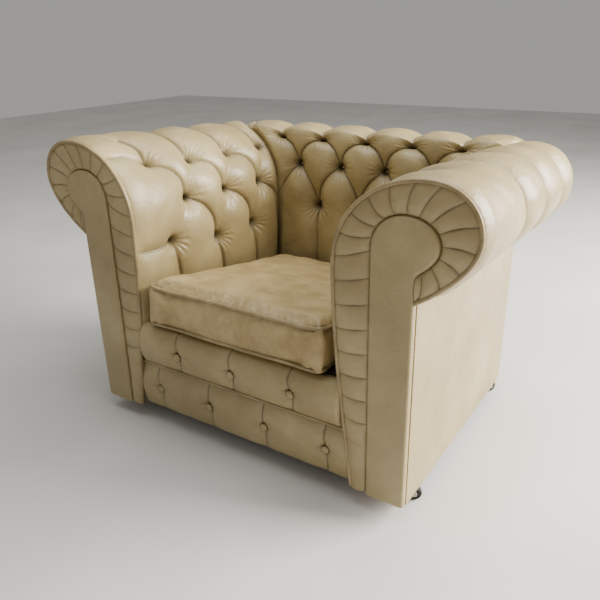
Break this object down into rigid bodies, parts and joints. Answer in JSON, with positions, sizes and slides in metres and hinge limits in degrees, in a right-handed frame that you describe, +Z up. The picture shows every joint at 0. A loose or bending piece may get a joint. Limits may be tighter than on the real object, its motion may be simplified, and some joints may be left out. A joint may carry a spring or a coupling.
{
  "type": "upholstered armchair",
  "caption": "Deep-buttoned leather club armchair with scroll arms, a loose seat cushion and small castors.",
  "frame": {"origin": "on the floor, below the middle of the chair", "axes": "+Z up; the chair faces -Y; +X to the right of someone looking at its front"},
  "size_m": [1.11, 0.7963, 0.7254],
  "materials": {
    "leather": "tan olive hide, semi-gloss, worn and mottled",
    "beech": "raw planed beech",
    "spring_steel": "drawn wire",
    "castor_steel": "dull plated",
    "castor_wheel": "dark brown moulded",
    "lining": "woven platform cloth over wadding",
    "cambric": "thin black dust cloth"
  },
  "bodies": {
    "chair": {"arm_pad_right": "leather", "arm_facing_right": "leather", "arm_band_right": "leather", "arm_piping_right": "leather", "outside_arm_right": "leather", "arm_post_right": "beech", "arm_top_rail_right": "beech", "side_rail_right": "beech", "back_post_right": "beech", "arm_pad_left": "leather", "arm_facing_left": "leather", "arm_band_left": "leather", "arm_piping_left": "leather", "outside_arm_left": "leather", "arm_post_left": "beech", "arm_top_rail_left": "beech", "side_rail_left": "beech", "back_post_left": "beech", "back_pad": "leather", "outside_back": "leather", "front_border": "leather", "seat_border": "leather", "lower_button_1": "leather", "lower_button_2": "leather", "lower_button_3": "leather", "lower_button_4": "leather", "upper_button_1": "leather", "upper_button_2": "leather", "upper_button_3": "leather", "front_rail": "beech", "back_rail": "beech", "back_top_rail": "beech", "corner_block_front_right": "beech", "corner_block_front_left": "beech", "corner_block_back_right": "beech", "corner_block_back_left": "beech", "seat_spring_1": "spring_steel", "seat_spring_2": "spring_steel", "seat_spring_3": "spring_steel", "seat_spring_4": "spring_steel", "seat_spring_5": "spring_steel", "seat_deck": "lining", "dust_cover": "cambric", "castor_plate_front_right": "castor_steel", "castor_plate_front_left": "castor_steel", "castor_plate_back_right": "castor_steel", "castor_plate_back_left": "castor_steel"},
    "cushion": {"seat_cushion": "leather"},
    "swivel_front_right": {"castor_fork_front_right": "castor_steel", "castor_axle_front_right": "castor_steel"},
    "wheel_front_right": {"castor_wheel_front_right": "castor_wheel"},
    "swivel_front_left": {"castor_fork_front_left": "castor_steel", "castor_axle_front_left": "castor_steel"},
    "wheel_front_left": {"castor_wheel_front_left": "castor_wheel"},
    "swivel_back_right": {"castor_fork_back_right": "castor_steel", "castor_axle_back_right": "castor_steel"},
    "wheel_back_right": {"castor_wheel_back_right": "castor_wheel"},
    "swivel_back_left": {"castor_fork_back_left": "castor_steel", "castor_axle_back_left": "castor_steel"},
    "wheel_back_left": {"castor_wheel_back_left": "castor_wheel"}
  },
  "joints": [
    {"name": "cushion_lift", "type": "slide", "parent": "chair", "child": "cushion", "axis": [0, 0, 1], "range_m": [0, 0.45]},
    {"name": "castor_swivel_front_right", "type": "hinge", "parent": "chair", "child": "swivel_front_right", "pos_m": [0.414, -0.3125, 0.03], "axis": [0, 0, 1], "continuous": true},
    {"name": "castor_roll_front_right", "type": "hinge", "parent": "swivel_front_right", "child": "wheel_front_right", "pos_m": [0.42786, -0.3045, 0.0175], "axis": [-0.5, 0.866, 0], "continuous": true},
    {"name": "castor_swivel_front_left", "type": "hinge", "parent": "chair", "child": "swivel_front_left", "pos_m": [-0.414, -0.3125, 0.03], "axis": [0, 0, 1], "continuous": true},
    {"name": "castor_roll_front_left", "type": "hinge", "parent": "swivel_front_left", "child": "wheel_front_left", "pos_m": [-0.42626, -0.30222, 0.0175], "axis": [-0.6428, -0.766, 0], "continuous": true},
    {"name": "castor_swivel_back_right", "type": "hinge", "parent": "chair", "child": "swivel_back_right", "pos_m": [0.414, 0.2125, 0.03], "axis": [0, 0, 1], "continuous": true},
    {"name": "castor_roll_back_right", "type": "hinge", "parent": "swivel_back_right", "child": "wheel_back_right", "pos_m": [0.42318, 0.22561, 0.0175], "axis": [-0.8192, 0.5736, 0], "continuous": true},
    {"name": "castor_swivel_back_left", "type": "hinge", "parent": "chair", "child": "swivel_back_left", "pos_m": [-0.414, 0.2125, 0.03], "axis": [0, 0, 1], "continuous": true},
    {"name": "castor_roll_back_left", "type": "hinge", "parent": "swivel_back_left", "child": "wheel_back_left", "pos_m": [-0.41678, 0.22826, 0.0175], "axis": [-0.9848, -0.1736, 0], "continuous": true}
  ]
}
